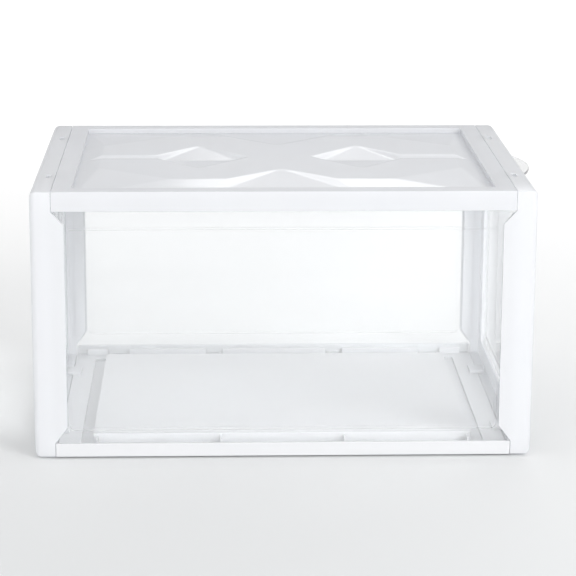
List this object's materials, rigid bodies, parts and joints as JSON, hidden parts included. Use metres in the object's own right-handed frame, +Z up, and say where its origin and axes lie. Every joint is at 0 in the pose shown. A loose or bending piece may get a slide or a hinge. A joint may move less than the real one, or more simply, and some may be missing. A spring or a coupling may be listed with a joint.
{
  "type": "shoe box",
  "caption": "Stackable shoe display box with a clear drop-down end door, clear walls, white end frames and an embossed top panel.",
  "frame": {"origin": "on the surface that the box stands on, under the middle of the stacking foot", "axes": "+X along the length towards the door end, +Z up, -Y towards the front window"},
  "size_m": [0.3705, 0.264, 0.197],
  "materials": {
    "white_plastic": "satin moulded",
    "translucent_white_plastic": "satin moulded, slightly translucent",
    "clear_plastic": "clear, polished",
    "magnet": "nickel plated",
    "steel": "plain, dull"
  },
  "bodies": {
    "box": {"right_end_frame": "white_plastic", "left_end_frame": "white_plastic", "top_panel": "translucent_white_plastic", "bottom_panel": "translucent_white_plastic", "front_window": "clear_plastic", "back_window": "clear_plastic", "left_end_window": "clear_plastic", "frame_magnets": "magnet"},
    "door": {"door": "clear_plastic", "door_discs": "steel"}
  },
  "joints": [
    {"name": "door_hinge", "type": "hinge", "parent": "box", "child": "door", "pos_m": [0.1769, 0, 0.01], "axis": [0, 1, 0], "range_deg": [0, 88]}
  ]
}
